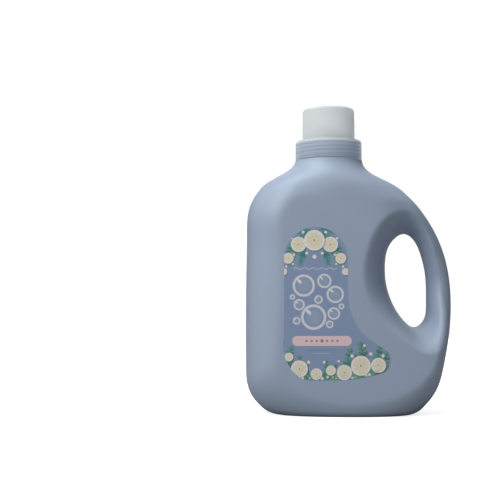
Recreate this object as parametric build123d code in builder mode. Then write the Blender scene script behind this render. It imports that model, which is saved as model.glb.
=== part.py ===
import os
from math import atan2, cos, degrees, pi, sin, sqrt

from build123d import *

# A blow-moulded laundry detergent bottle of about three litres, with a through handle, a drain-back pour
# spout pressed in its neck, a translucent screw cap that is turned over to measure a dose, the foam
# gasket in the cap and a label on each flat side. Millimetres, shown closed and standing.
# Origin: on the neck's axis at the table. +X towards the handle, -Y the front, +Z up.

# Driving dimensions of the blown body
body_width = 198.0  # left side to the outside of the handle
body_depth = 94.0  # between the two flat label sides
body_height = 243.3  # table to the ledge under the cap
wall = 1.4
base_round = 5.0
push_up = 3.0  # how far the middle of the base is raised
foot_margin = 12.0  # from the outline of the base to the raised middle
push_up_corner = 20.0
push_up_slope = 35.0  # degrees

# Neck and screw thread
neck_radius = 28.6
neck_wall = 2.4
neck_length = 15.8
thread_pitch = 3.6
thread_turns = 2.25
thread_height = 1.2
thread_root = 2.0
thread_crest = 0.9
thread_start = 4.0  # above the ledge
thread_sink = 0.2  # how far a thread's root is set in its wall

# Pour spout
flange_thick = 1.2
insert_wall = 1.3
insert_depth = 19.0  # below the neck's rim
spout_radius = 17.0
spout_rise = 23.0  # of its lip above the flange
spout_back_rise = 3.0  # of its low side above the flange
spout_slot = 9.0
drain_slot = 6.0

# Cap and gasket
gasket_thick = 1.0
gasket_clearance = 0.6
gasket_width = 4.0
skirt_clearance = 0.7  # between the neck's thread and the skirt
skirt_wall = 1.7
skirt_gap = 0.7  # over the ledge
shoulder_thick = 1.4
shoulder_round = 2.6
cup_radius = 25.5
cup_wall = 1.3
cup_rise = 31.8  # above the cap's shoulder
cup_edge_round = 3.5
cup_draft = 0.5
lip_clearance = 0.5
lip_length = 13.0

# Labels
label_thick = 0.15

# The outline drawn from the front, as shares of the body's width and height, from the neck's axis and
# the table. It runs on under the table, where the base cuts it.
outline_shares = [
    (0.5921, 0.4485), (0.5864, 0.3616), (0.5684, 0.2706), (0.5439, 0.1798), (0.5089, 0.0889),
    (0.45, 0.0257), (0.3373, -0.0415), (0.0532, -0.085), (-0.182, -0.0454), (-0.3311, 0.0237),
    (-0.3916, 0.0889), (-0.4073, 0.1877), (-0.4073, 0.3299), (-0.4058, 0.5275), (-0.4024, 0.7013),
    (-0.3877, 0.8199), (-0.3289, 0.8949), (-0.2212, 0.9542), (-0.0056, 0.9878), (0.1904, 0.9542),
    (0.3275, 0.8949), (0.4108, 0.8356), (0.4794, 0.7645), (0.5333, 0.6855), (0.5725, 0.5907),
]
# The hand opening, half way through the body
opening_shares = [
    (0.3712, 0.7085), (0.3124, 0.6825), (0.2830, 0.6384), (0.2732, 0.5823), (0.2806, 0.5021),
    (0.3075, 0.4339), (0.3614, 0.3657), (0.4153, 0.3385), (0.4569, 0.3617), (0.4741, 0.4380),
    (0.4692, 0.5502), (0.4472, 0.6304), (0.4153, 0.6844),
]
# Inside the hand opening, where the rays start that the sides are drawn along
ray_centre_shares = (0.3716, 0.5315)

# Round the hand opening, by the angle from the handle in degrees and as shares of the body's depth:
# half the thickness, how far the surface takes to rise out of the opening, and how far it takes to
# round over at the outline. A little over half the depth leaves the flat label sides.
side_shares = [
    (0, 0.165, 0.128, 0.133), (30, 0.181, 0.117, 0.122), (60, 0.234, 0.149, 0.138),
    (90, 0.340, 0.223, 0.160), (115, 0.457, 0.277, 0.255), (140, 0.503, 0.293, 0.383),
    (165, 0.503, 0.293, 0.404), (190, 0.503, 0.293, 0.404), (215, 0.503, 0.293, 0.426),
    (240, 0.503, 0.271, 0.447), (262, 0.503, 0.240, 0.436), (277, 0.503, 0.245, 0.372),
    (288, 0.492, 0.287, 0.298), (298, 0.447, 0.335, 0.223), (309, 0.351, 0.309, 0.181),
    (320, 0.261, 0.213, 0.160), (334, 0.191, 0.149, 0.144), (348, 0.170, 0.133, 0.133),
]
opening_fullness = 1.55  # two is an ellipse, more is squarer
outline_fullness = 2.1
rays = 32
ray_steps = 12

# The shoulder over the sides, from below: its height as a share of the body's, its left and right edge
# as shares of the width and half its thickness as a share of the depth. The last row is the round ledge.
shoulder_start_share = 0.82
shoulder_lap_share = 0.025
shoulder_shares = [
    (0.8595, -0.3632, 0.3813, 0.497), (0.8839, -0.3420, 0.3484, 0.489), (0.9067, -0.3142, 0.3055, 0.474),
    (0.9303, -0.2677, 0.2479, 0.447), (0.9503, -0.2230, 0.2058, 0.413), (0.9662, -0.1945, 0.1838, 0.383),
    (0.9817, -0.1755, 0.1704, 0.359),
]
ledge_radius = 32.4
shoulder_steps = 16

# The front label's outline, as shares of the body's width and height: an arch over a straight left side,
# and a toe at the bottom right.
label_left_share = -0.229
label_right_share = 0.0698
label_arch_share = 0.6054
label_top_share = 0.7232
label_heel_share = 0.3053
label_right_low_share = 0.4647
label_side_shares = [(0.0791, 0.4079), (0.0931, 0.3775), (0.1212, 0.3357)]
toe_shares = [(0.2285, 0.2654), (0.2659, 0.2236), (0.2332, 0.1704)]
label_base_shares = [(0.0557, 0.1419), (-0.1404, 0.1457)]
label_corner_share = (-0.2058, 0.1951)

# Worked out from these
half_depth = body_depth / 2
ledge = body_height
neck_top = ledge + neck_length
bore_radius = neck_radius - neck_wall
flange_top = neck_top + flange_thick
shoulder_bottom = flange_top + gasket_thick
shoulder_top = shoulder_bottom + shoulder_thick
thread_radius = neck_radius + thread_height
skirt_inner = thread_radius + skirt_clearance
skirt_outer = skirt_inner + skirt_wall
cup_top = shoulder_top + cup_rise
shoulder_start = shoulder_start_share * body_height
overrun = body_depth

os.makedirs("parts", exist_ok=True)


def closed_outline(shares):
    with BuildLine(Plane.XZ) as line:
        Spline([(x * body_width, z * body_height) for x, z in shares], periodic=True)
    return line.edge()


outline = closed_outline(outline_shares)
opening = closed_outline(opening_shares)
ray_centre = Vector(ray_centre_shares[0] * body_width, 0, ray_centre_shares[1] * body_height)


# From the ray centre to an outline, in a given direction
def reach(edge, direction):
    ray = Edge.make_line(ray_centre, ray_centre + direction * (body_width + body_height))
    return max((Vector(v) - ray_centre).length for v in edge.intersect(ray).vertices())


# One column of the sides table at any angle
def side_value(angle, column):
    first, last = side_shares[0], side_shares[-1]
    rows = [(last[0] - 360,) + last[1:]] + side_shares + [(first[0] + 360,) + first[1:]]
    i = max(k for k in range(len(rows) - 1) if rows[k][0] <= angle)
    low, high = rows[i], rows[i + 1]
    t = (angle - low[0]) / (high[0] - low[0])
    t = (t + t * t * (3 - 2 * t)) / 2
    return (low[column] + (high[column] - low[column]) * t) * body_depth


# A rounded edge: nothing at the edge itself, the full thickness at one radius from it
def rounded(share, fullness):
    share = min(max(share, 0), 1)
    return (1 - (1 - share) ** fullness) ** (1 / fullness)


# Half the body's thickness at a point of its front view
def thickness(x, z, inset):
    from_centre = Vector(x, 0, z) - ray_centre
    direction = from_centre.normalized()
    angle = degrees(atan2(direction.Z, direction.X)) % 360
    start, end = reach(opening, direction) + inset, reach(outline, direction) - inset
    rise = rounded((from_centre.length - start) / side_value(angle, 2), opening_fullness)
    fall = rounded((end - from_centre.length) / side_value(angle, 3), outline_fullness)
    return (side_value(angle, 1) - inset) * rise * fall


# A section of the front half: a curve that leaves and meets the middle plane squarely, closed by a line.
# All such curves run at the same pace, so that a loft through them stays light.
def half_section(plane, points):
    points = [Vector(*point) for point in points]
    spans = len(points) - 1
    pace = [k / spans for k in range(spans + 1)]
    ends = [Vector(0, points[1].Y) * spans, Vector(0, -points[-2].Y) * spans]
    with BuildSketch(plane) as section:
        with BuildLine():
            add(Edge.make_spline(points, tangents=ends, parameters=pace, scale=False))
            Line(points[-1], points[0])
        make_face()
    return section.sketch.faces()[0]


# Shares of a span, closer together near its two ends
def end_spacing(count):
    return [(1 - cos(pi * k / count)) / 2 for k in range(count + 1)]


def ray_section(index, inset):
    angle = 2 * pi * (index + 0.5) / rays
    direction = Vector(cos(angle), 0, sin(angle))
    start, end = reach(opening, direction) + inset, reach(outline, direction) - inset
    points = [(start, 0)]
    for share in end_spacing(ray_steps)[1:-1]:
        place = ray_centre + direction * (start + (end - start) * share)
        points.append((start + (end - start) * share, thickness(place.X, place.Z, inset)))
    points.append((end, 0))
    return half_section(Plane(ray_centre, x_dir=direction, z_dir=direction.cross(Vector(0, -1, 0))), points)


# The body's thickness along the line where the shoulder starts, as shares of its greatest
def start_profile(inset):
    line = Edge.make_line((-body_width, 0, shoulder_start), (body_width, 0, shoulder_start))
    ends = sorted(Vector(v).X for v in outline.intersect(line).vertices())
    left, right = ends[0] + inset, ends[-1] - inset
    spacing = end_spacing(shoulder_steps)[1:-1]
    values = [thickness(left + (right - left) * share, shoulder_start, inset) for share in spacing]
    return [value / max(values) for value in values]


# A level section of the shoulder, which turns from the body's own profile into a circle on the way up
def level_section(row, profile, inset):
    z, left, right, half = row
    t = (z - shoulder_start) / (ledge - shoulder_start)
    mix = t * t * (3 - 2 * t)
    left, right, half = left + inset, right - inset, half - inset
    points = [(left, 0)]
    for share, value in zip(end_spacing(shoulder_steps)[1:-1], profile):
        circle = sqrt(1 - (2 * share - 1) ** 2)
        points.append((left + (right - left) * share, half * value ** (1 - mix) * circle**mix))
    points.append((right, 0))
    return half_section(Plane((0, 0, z - inset), x_dir=(1, 0, 0), z_dir=(0, 0, -1)), points)


# The front half of the blown form up to the ledge. An inset of one wall gives the space inside it.
def half_form(inset):
    sections = [ray_section(index, inset) for index in range(rays)]
    with BuildPart() as ring:
        loft(sections=sections + [sections[0]])
    lap = shoulder_lap_share * body_height
    slices = [ring.part.intersect(Plane.XY.offset(shoulder_start - n * lap)).faces()[0] for n in (2, 1, 0)]
    rows = [
        (z * body_height, left * body_width, right * body_width, half * body_depth)
        for z, left, right, half in shoulder_shares
    ]
    rows.append((ledge, -ledge_radius, ledge_radius, ledge_radius))
    profile = start_profile(inset)
    with BuildPart() as top:
        loft(sections=slices + [level_section(row, profile, inset) for row in rows])
        split(bisect_by=Plane.XY.offset(shoulder_start), keep=Keep.TOP)
    with BuildPart() as form:
        add(ring.part)
        split(bisect_by=Plane.XY.offset(shoulder_start), keep=Keep.BOTTOM)
        split(bisect_by=Plane.XY.offset(inset), keep=Keep.TOP)
        add(top.part)
    return form.part


# A helical thread ridge on a wall of the given radius, which points out or in
def thread_ridge(radius, height, start, turns):
    with BuildPart() as ridge:
        with BuildLine(Plane.XY.offset(start)) as path:
            Helix(pitch=thread_pitch, height=turns * thread_pitch, radius=radius)
        with BuildSketch(Plane(origin=path.line @ 0, x_dir=(1, 0, 0), z_dir=path.line % 0)):
            with BuildLine():
                Polyline(
                    (0, -thread_root / 2), (height, -thread_crest / 2), (height, thread_crest / 2),
                    (0, thread_root / 2), close=True,
                )
            make_face()
        sweep(is_frenet=True)
    return ridge.part


# The whole blown form with its base edge rounded
def whole_form(inset, half_limit):
    with BuildPart() as form:
        add(half_form(inset))
        split(bisect_by=Plane.XZ.offset(half_limit), keep=Keep.BOTTOM)
        mirror(about=Plane.XZ)
        base = form.faces().filter_by(Plane.XY).sort_by(Axis.Z)[0]
        fillet(base.outer_wire().edges(), base_round - inset)
    return form.part


# The blown bottle up to its ledge
with BuildPart() as bottle:
    add(whole_form(0, half_depth))
    add(whole_form(wall, half_depth - wall), mode=Mode.SUBTRACT)
    foot = bottle.faces().filter_by(Plane.XY).sort_by(Axis.Z)[0].bounding_box()
    foot_length, foot_width = foot.size.X - 2 * foot_margin, foot.size.Y - 2 * foot_margin
    with BuildSketch(Plane.XY):
        with Locations((foot.center().X, 0)):
            RectangleRounded(foot_length, foot_width, push_up_corner)
    extrude(amount=push_up + wall, taper=push_up_slope)
    with BuildSketch(Plane.XY):
        with Locations((foot.center().X, 0)):
            RectangleRounded(foot_length - 2 * wall, foot_width - 2 * wall, push_up_corner - wall)
    extrude(amount=push_up, taper=push_up_slope, mode=Mode.SUBTRACT)
    with BuildSketch(Plane.XY.offset(ledge - overrun)):
        Circle(bore_radius)
    extrude(amount=overrun, mode=Mode.SUBTRACT)
bottle.part.label = "bottle"
export_step(bottle.part, "parts/bottle.step")
print("bottle", bottle.part.is_valid, len(bottle.solids()), round(bottle.part.volume))

# The bottle's threaded neck, which rises from its ledge
with BuildPart() as bottle_neck:
    with BuildSketch(Plane.XY.offset(ledge)):
        Circle(neck_radius)
    extrude(amount=neck_length)
    add(thread_ridge(neck_radius - thread_sink, thread_height + thread_sink, ledge + thread_start, thread_turns))
    with BuildSketch(Plane.XY.offset(ledge)):
        Circle(bore_radius)
    extrude(amount=neck_length, mode=Mode.SUBTRACT)
bottle_neck.part.label = "bottle_neck"
export_step(bottle_neck.part, "parts/bottle_neck.step")
print("bottle_neck", bottle_neck.part.is_valid, len(bottle_neck.solids()), round(bottle_neck.part.volume))

# The drain-back pour spout, pressed in the neck: a trough round a slotted spout that leans its lip to
# the side away from the handle
insert_bottom = neck_top - insert_depth
insert_inner = bore_radius - insert_wall
with BuildPart() as pour_spout:
    with BuildSketch(Plane.XZ):
        with BuildLine():
            Polyline(
                (insert_inner, flange_top), (neck_radius, flange_top), (neck_radius, neck_top),
                (bore_radius, neck_top), (bore_radius, insert_bottom), (0, insert_bottom),
                (0, insert_bottom + insert_wall), (insert_inner, insert_bottom + insert_wall), close=True,
            )
        make_face()
    revolve(axis=Axis.Z)
    with BuildSketch(Plane.XY.offset(insert_bottom)):
        Circle(spout_radius)
    extrude(amount=flange_top + spout_rise - insert_bottom)
    with BuildSketch(Plane.XY.offset(insert_bottom)):
        Circle(spout_radius - insert_wall)
    extrude(amount=overrun, mode=Mode.SUBTRACT)
    with BuildSketch(Plane.XZ):
        with BuildLine():
            low, high = flange_top + spout_back_rise, flange_top + spout_rise
            Polyline(
                (-spout_radius, high), (spout_radius, low), (neck_radius, low),
                (neck_radius, high + overrun), (-spout_radius, high + overrun), close=True,
            )
        make_face()
    extrude(amount=neck_radius, both=True, mode=Mode.SUBTRACT)
    with BuildSketch(Plane.XY.offset(insert_bottom + insert_wall)):
        with Locations((spout_radius, 0)):
            Rectangle(spout_radius, spout_slot)
    extrude(amount=overrun, mode=Mode.SUBTRACT)
    with BuildSketch(Plane.XY.offset(insert_bottom)):
        with Locations((spout_radius, 0)):
            Rectangle(2 * drain_slot, drain_slot)
    extrude(amount=insert_wall, mode=Mode.SUBTRACT)
pour_spout.part.label = "pour_spout"
export_step(pour_spout.part, "parts/pour_spout.step")
print("pour_spout", pour_spout.part.is_valid, len(pour_spout.solids()), round(pour_spout.part.volume))

# The foam gasket between the spout's flange and the cap's shoulder
lip_outer = insert_inner - lip_clearance
gasket_inner = lip_outer + gasket_clearance
with BuildPart() as cap_gasket:
    with BuildSketch(Plane.XY.offset(flange_top)):
        Circle(gasket_inner + gasket_width)
        Circle(gasket_inner, mode=Mode.SUBTRACT)
    extrude(amount=gasket_thick)
cap_gasket.part.label = "cap_gasket"
export_step(cap_gasket.part, "parts/cap_gasket.step")

# The cap: a dosing cup with its mouth down, and round it a skirt with the inner thread
with BuildPart() as cap:
    with BuildSketch(Plane.XZ) as cap_profile:
        with BuildLine():
            Polyline(
                (0, cup_top), (cup_radius - cup_draft, cup_top), (cup_radius, shoulder_top),
                (skirt_outer, shoulder_top), (skirt_outer, ledge + skirt_gap), (skirt_inner, ledge + skirt_gap),
                (skirt_inner, shoulder_bottom), (lip_outer, shoulder_bottom),
                (lip_outer, shoulder_bottom - lip_length), (lip_outer - cup_wall, shoulder_bottom - lip_length),
                (lip_outer - cup_wall, shoulder_top), (cup_radius - cup_draft - cup_wall, cup_top - cup_wall),
                (0, cup_top - cup_wall), close=True,
            )
        make_face()
        fillet(cap_profile.vertices().group_by(Axis.X)[-1].sort_by(Axis.Y)[-1], shoulder_round)
        fillet(cap_profile.vertices().group_by(Axis.Y)[-1].sort_by(Axis.X)[-1], cup_edge_round)
        fillet(cap_profile.vertices().group_by(Axis.Y)[-2].sort_by(Axis.X)[-1], cup_edge_round - cup_wall)
    revolve(axis=Axis.Z)
    add(
        thread_ridge(
            skirt_inner + thread_sink, -(thread_height + thread_sink),
            ledge + thread_start - thread_pitch / 2, thread_turns,
        )
    )
cap.part.label = "cap"
export_step(cap.part, "parts/cap.step")
print("cap", cap.part.is_valid, len(cap.solids()), round(cap.part.volume))


# A label's film on one of the flat sides
def label_film(plane):
    def at(share):
        return (share[0] * body_width, share[1] * body_height)

    middle = (label_left_share + label_right_share) / 2
    side = [(label_right_share, label_right_low_share)] + label_side_shares + [toe_shares[0]]
    with BuildPart() as film:
        with BuildSketch(plane):
            with BuildLine():
                ThreePointArc(
                    at((label_left_share, label_arch_share)), at((middle, label_top_share)),
                    at((label_right_share, label_arch_share)),
                )
                Line(at((label_right_share, label_arch_share)), at(side[0]))
                Spline([at(share) for share in side])
                ThreePointArc(at(toe_shares[0]), at(toe_shares[1]), at(toe_shares[2]))
                ThreePointArc(at(toe_shares[2]), at(label_base_shares[0]), at(label_base_shares[1]))
                ThreePointArc(
                    at(label_base_shares[1]), at(label_corner_share), at((label_left_share, label_heel_share)),
                )
                Line(at((label_left_share, label_heel_share)), at((label_left_share, label_arch_share)))
            make_face()
        extrude(amount=label_thick)
    return film.part


front_label = label_film(Plane.XZ.offset(half_depth))
front_label.label = "front_label"
export_step(front_label, "parts/front_label.step")
back_label = label_film(Plane.XZ.offset(-half_depth - label_thick))
back_label.label = "back_label"
export_step(back_label, "parts/back_label.step")
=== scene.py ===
import bmesh
import bpy
import numpy as np
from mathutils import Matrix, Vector


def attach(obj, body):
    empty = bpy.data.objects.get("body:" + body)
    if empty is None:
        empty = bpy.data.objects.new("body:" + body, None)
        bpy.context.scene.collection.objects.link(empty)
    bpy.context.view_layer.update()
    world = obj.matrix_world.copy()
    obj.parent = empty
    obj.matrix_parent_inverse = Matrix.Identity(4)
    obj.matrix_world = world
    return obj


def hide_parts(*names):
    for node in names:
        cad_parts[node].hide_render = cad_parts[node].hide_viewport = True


# A periwinkle-blue laundry detergent bottle with a through handle, a milky screw cap and a printed label on
# each flat side. Sizes in the dictionaries are millimetres; meshes are made in metres.

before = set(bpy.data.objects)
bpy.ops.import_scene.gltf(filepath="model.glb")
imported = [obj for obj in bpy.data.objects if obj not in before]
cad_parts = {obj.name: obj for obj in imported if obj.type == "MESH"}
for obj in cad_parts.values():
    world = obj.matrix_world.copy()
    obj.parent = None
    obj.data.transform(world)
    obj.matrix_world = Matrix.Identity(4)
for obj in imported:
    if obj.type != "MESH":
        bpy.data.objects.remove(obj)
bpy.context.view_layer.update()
mm = 0.001
print("frame loaded:", ", ".join(sorted(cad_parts)))


# Small helpers that the pieces share.


def softStep(low, high, value):
    # 3t^2 - 2t^3 of how far value lies from low to high, held at 0 and 1 outside
    t = np.clip((value - low) / (high - low), 0, 1)
    return t * t * (3 - 2 * t)


def closedCurve(points, perSpan=48):
    # cubic pieces through the points, paced by the chord lengths, with equal slope and bend at each joint
    here = np.array(points, float)
    there = np.roll(here, -1, 0)
    count = len(here)
    chord = np.linalg.norm(there - here, axis=1)
    before = np.roll(chord, 1)
    row = np.arange(count)
    matrix = np.zeros((count, count))
    matrix[row, row] = 2 * (before + chord)
    matrix[row, (row - 1) % count] += before
    matrix[row, (row + 1) % count] += chord
    slope = (there - here) / chord[:, None]
    bend = np.linalg.solve(matrix, 6 * (slope - np.roll(slope, 1, 0)))
    # a piece is (bend * rest^3 + next bend * gone^3) / (6 * span), and a straight part that meets both points
    span = chord[:, None, None]
    gone = np.linspace(0, 1, perSpan, endpoint=False)[None, :, None] * span
    rest = span - gone
    nextBend = np.roll(bend, -1, 0)[:, None]
    bend = bend[:, None]
    curve = (bend * rest**3 + nextBend * gone**3) / (6 * span)
    curve = curve + (here[:, None] / span - bend * span / 6) * rest
    curve = curve + (there[:, None] / span - nextBend * span / 6) * gone
    return curve.reshape(-1, 2)


def smoothTable(keys, values):
    # natural cubic pieces through a table's rows, returned as a function of the key
    key, value = np.array(keys, float), np.array(values, float)
    count = len(key)
    gap = np.diff(key)
    slope = np.diff(value) / gap
    matrix = np.eye(count)
    row = np.arange(1, count - 1)
    matrix[row, row - 1] = gap[:-1]
    matrix[row, row] = 2 * (gap[:-1] + gap[1:])
    matrix[row, row + 1] = gap[1:]
    turn = np.zeros(count)
    turn[1:-1] = 6 * (slope[1:] - slope[:-1])
    bend = np.linalg.solve(matrix, turn)

    def read(at):
        # the same piece as in closedCurve, between the two rows about the key
        k = np.clip(np.searchsorted(key, at) - 1, 0, count - 2)
        gone, rest, span = at - key[k], key[k + 1] - at, gap[k]
        curve = (bend[k] * rest**3 + bend[k + 1] * gone**3) / (6 * span)
        curve = curve + (value[k] / span - bend[k] * span / 6) * rest
        return curve + (value[k + 1] / span - bend[k + 1] * span / 6) * gone

    return read


def surfaceMesh(name, grid, wrapRows=False, wrapColumns=False, flip=False):
    # joins the neighbours of a grid of points by quads; a wrapped grid also joins its last row or column to
    # its first
    rows, columns = grid.shape[:2]
    index = np.arange(rows * columns).reshape(rows, columns)
    if wrapRows:
        index = np.vstack([index, index[:1]])
    if wrapColumns:
        index = np.hstack([index, index[:, :1]])
    quads = np.stack([index[:-1, :-1], index[:-1, 1:], index[1:, 1:], index[1:, :-1]], -1).reshape(-1, 4)
    if flip:
        quads = quads[:, ::-1]
    mesh = bpy.data.meshes.new(name)
    points = (grid.reshape(-1, 3) * mm).astype(np.float32)
    mesh.vertices.add(len(points))
    mesh.vertices.foreach_set("co", points.ravel())
    mesh.loops.add(quads.size)
    mesh.loops.foreach_set("vertex_index", quads.astype(np.int32).ravel())
    mesh.polygons.add(len(quads))
    mesh.polygons.foreach_set("loop_start", np.arange(0, quads.size, 4, dtype=np.int32))
    mesh.update(calc_edges=True)
    mesh.shade_smooth()
    return mesh


def weld(mesh, distance):
    # merges points that lie closer than the distance, in metres, and drops faces that shrink to a line
    work = bmesh.new()
    work.from_mesh(mesh)
    bmesh.ops.remove_doubles(work, verts=work.verts, dist=distance)
    bmesh.ops.dissolve_degenerate(work, edges=work.edges, dist=distance)
    work.to_mesh(mesh)
    work.free()
    mesh.shade_smooth()


def readPlaces(items, what):
    # the items' places in millimetres, as rows of x, y and z
    places = np.empty(len(items) * 3, np.float32)
    items.foreach_get(what, places)
    return places.reshape(-1, 3) / mm


def addPiece(name, mesh, material, bodyName, replaced):
    # places a mesh in the scene: it rides on a body, has a material slot and stands for a CAD node
    piece = bpy.data.objects.new(name, mesh)
    bpy.context.scene.collection.objects.link(piece)
    mesh.materials.append(material)
    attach(piece, bodyName)
    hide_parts(replaced)


# The blown body. Places in the tables are shares of its width and height, from the neck's axis and the foot.
body = {
    "width": 198.0,
    "height": 243.3,
    "depth": 94.0,
    "riseFullness": 1.55,  # how full the rounding is beside the hand opening
    "fallFullness": 2.1,  # and at the outline
    "flatSoft": 0.25,  # rounds the meeting of the flat side with the curved part
    "baseRound": 5.0,
    "pushUp": 3.0,  # height of the raised middle under the base
    "pushUpFrom": 10.0,  # it starts to rise this far inside the foot, and is full at the next value
    "pushUpTo": 15.0,
    "shoulderShare": 0.82,  # height at which the shoulder starts
    "lapShare": 0.025,  # spacing of the rows in which body and shoulder overlap
    "blendBelow": 8.0,  # the two meet from this far below the start to this far above it
    "blendAbove": 14.0,
    "ledgeRadius": 32.4,
    "wellRadius": 26.0,
    "wellDepth": 80.0,
    "wellSoft": 0.4,
    "angles": 420,  # lines round the hand opening, points along a line, points across base and ledge
    "steps": 72,
    "across": 25,
    "ledgeLines": 64,  # lines that end on the ledge, and as many beside the neck
    "leanStart": 0.82,  # lines that end above this height lean, by up to neckLean degrees
    "neckLean": 14.0,
    "crowding": 1.5,
}
outlineShares = [
    (0.5921, 0.4485), (0.5864, 0.3616), (0.5684, 0.2706), (0.5439, 0.1798), (0.5089, 0.0889),
    (0.45, 0.0257), (0.3373, -0.0415), (0.0532, -0.085), (-0.182, -0.0454), (-0.3311, 0.0237),
    (-0.3916, 0.0889), (-0.4073, 0.1877), (-0.4073, 0.3299), (-0.4058, 0.5275), (-0.4024, 0.7013),
    (-0.3877, 0.8199), (-0.3289, 0.8949), (-0.2212, 0.9542), (-0.0056, 0.9878), (0.1904, 0.9542),
    (0.3275, 0.8949), (0.4108, 0.8356), (0.4794, 0.7645), (0.5333, 0.6855), (0.5725, 0.5907),
]
openingShares = [
    (0.3712, 0.7085), (0.3124, 0.6825), (0.2830, 0.6384), (0.2732, 0.5823), (0.2806, 0.5021),
    (0.3075, 0.4339), (0.3614, 0.3657), (0.4153, 0.3385), (0.4569, 0.3617), (0.4741, 0.4380),
    (0.4692, 0.5502), (0.4472, 0.6304), (0.4153, 0.6844),
]
# degrees from the handle, then half the thickness, its rise out of the opening and its fall at the outline,
# as shares of the depth
sideShares = np.array([
    (0, 0.165, 0.128, 0.133), (30, 0.181, 0.117, 0.122), (60, 0.234, 0.149, 0.138),
    (90, 0.340, 0.223, 0.160), (115, 0.457, 0.277, 0.255), (140, 0.503, 0.293, 0.383),
    (165, 0.503, 0.293, 0.404), (190, 0.503, 0.293, 0.404), (215, 0.503, 0.293, 0.426),
    (240, 0.503, 0.271, 0.447), (262, 0.503, 0.240, 0.436), (277, 0.503, 0.245, 0.372),
    (288, 0.492, 0.287, 0.310), (298, 0.447, 0.335, 0.255), (309, 0.351, 0.309, 0.235),
    (320, 0.261, 0.213, 0.205), (334, 0.191, 0.149, 0.165), (348, 0.170, 0.133, 0.133),
    (360, 0.165, 0.128, 0.133),
])
# height, left edge, right edge and half the thickness of the shoulder's level sections
shoulderShares = [
    (0.8595, -0.3632, 0.3813, 0.497), (0.8839, -0.3420, 0.3484, 0.489), (0.9067, -0.3142, 0.3055, 0.474),
    (0.9303, -0.2677, 0.2479, 0.447), (0.9503, -0.2230, 0.2058, 0.413), (0.9662, -0.1945, 0.1838, 0.383),
    (0.9817, -0.1755, 0.1704, 0.359),
]
fullTurn = 2 * np.pi
rayCentre = np.array([0.3716 * body["width"], 0.5315 * body["height"]])  # lies in the hand opening
shoulderStart = body["shoulderShare"] * body["height"]
outline = closedCurve(np.array(outlineShares) * (body["width"], body["height"]))
opening = closedCurve(np.array(openingShares) * (body["width"], body["height"]))


def polarTable(curve):
    # distance from the ray centre against the angle, for a curve that each ray meets once
    away = curve - rayCentre
    angle = np.arctan2(away[:, 1], away[:, 0]) % fullTurn
    order = np.argsort(angle)
    return angle[order], np.hypot(away[:, 0], away[:, 1])[order]


def readPolar(table, angle):
    # the table's distance at an angle, in straight steps from row to row
    return np.interp(angle, *table, period=fullTurn)


openingTable = polarTable(opening)
outlineTable = polarTable(outline)
halfDegrees = np.arange(0, 360, 0.5)


def sideCurve(column, spread=5.0):
    # half way between straight and eased steps from row to row, then averaged all round with the weight
    # exp(-(degrees away / spread)^2 / 2)
    row = np.clip(np.searchsorted(sideShares[:, 0], halfDegrees, side="right") - 1, 0, len(sideShares) - 2)
    t = (halfDegrees - sideShares[row, 0]) / (sideShares[row + 1, 0] - sideShares[row, 0])
    t = (t + t * t * (3 - 2 * t)) / 2
    value = (sideShares[row, column] * (1 - t) + sideShares[row + 1, column] * t) * body["depth"]
    away = np.minimum(halfDegrees, 360 - halfDegrees)
    weight = np.exp(-((away / spread) ** 2) / 2)
    return np.real(np.fft.ifft(np.fft.fft(value) * np.fft.fft(weight / weight.sum())))


sideCurves = {"half": sideCurve(1), "rise": sideCurve(2), "fall": sideCurve(3)}


def sideValue(angle, column):
    # a smoothed column of sideShares at an angle, in millimetres
    return np.interp(np.degrees(angle), halfDegrees, sideCurves[column], period=360)


def rounded(share, fullness):
    # (1 - (1 - share)^fullness)^(1 / fullness): a quarter circle at 2, flatter on top as fullness grows
    share = np.clip(share, 0, 1)
    return (1 - (1 - share) ** fullness) ** (1 / fullness)


def ringThickness(x, z):
    # half the thickness along rays from the hand opening: half * rounded rise at the opening * rounded fall
    # at the outline
    dx, dz = x - rayCentre[0], z - rayCentre[1]
    angle, far = np.arctan2(dz, dx) % fullTurn, np.hypot(dx, dz)
    rise = rounded((far - readPolar(openingTable, angle)) / sideValue(angle, "rise"), body["riseFullness"])
    fall = rounded((readPolar(outlineTable, angle) - far) / sideValue(angle, "fall"), body["fallFullness"])
    return sideValue(angle, "half") * rise * fall


def edgesAt(z):
    # left and right edge of the outline at a height, read on its sides, away from its top and bottom
    upright = outline[(outline[:, 1] > 20) & (outline[:, 1] < 236)]
    left = upright[upright[:, 0] < 0]
    right = upright[upright[:, 0] >= 0]
    left = left[np.argsort(left[:, 1])]
    right = right[np.argsort(right[:, 1])]
    return np.interp(z, left[:, 1], left[:, 0]), np.interp(z, right[:, 1], right[:, 0])


# the shoulder's table: three rows of the body up to the shoulder's start, the shoulder's own, and the ledge
lap = body["lapShare"] * body["height"]
shoulderRows = []
for lapsDown in (2, 1, 0):
    rowHeight = shoulderStart - lapsDown * lap
    rowLeft, rowRight = edgesAt(rowHeight)
    inner = np.linspace(rowLeft, rowRight, 200)[1:-1]
    rowHalf = ringThickness(inner, np.full(len(inner), rowHeight)).max()
    shoulderRows.append((rowHeight, rowLeft, rowRight, rowHalf))
rowScale = (body["height"], body["width"], body["width"], body["depth"])
shoulderRows.extend(np.array(shoulderShares) * rowScale)
shoulderRows.append((body["height"], -body["ledgeRadius"], body["ledgeRadius"], body["ledgeRadius"]))
shoulderTable = np.array(shoulderRows)
leftAt, rightAt, halfAt = (smoothTable(shoulderTable[:, 0], shoulderTable[:, k]) for k in (1, 2, 3))
# the body's profile at the shoulder's start, from its left to its right edge, as a share of its thickest
startLeft, startRight = edgesAt(shoulderStart)
startShare = np.linspace(0, 1, 300)
startX = startLeft + (startRight - startLeft) * startShare
startThick = ringThickness(startX, np.full(len(startX), shoulderStart))
startThick = startThick / startThick.max()


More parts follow.
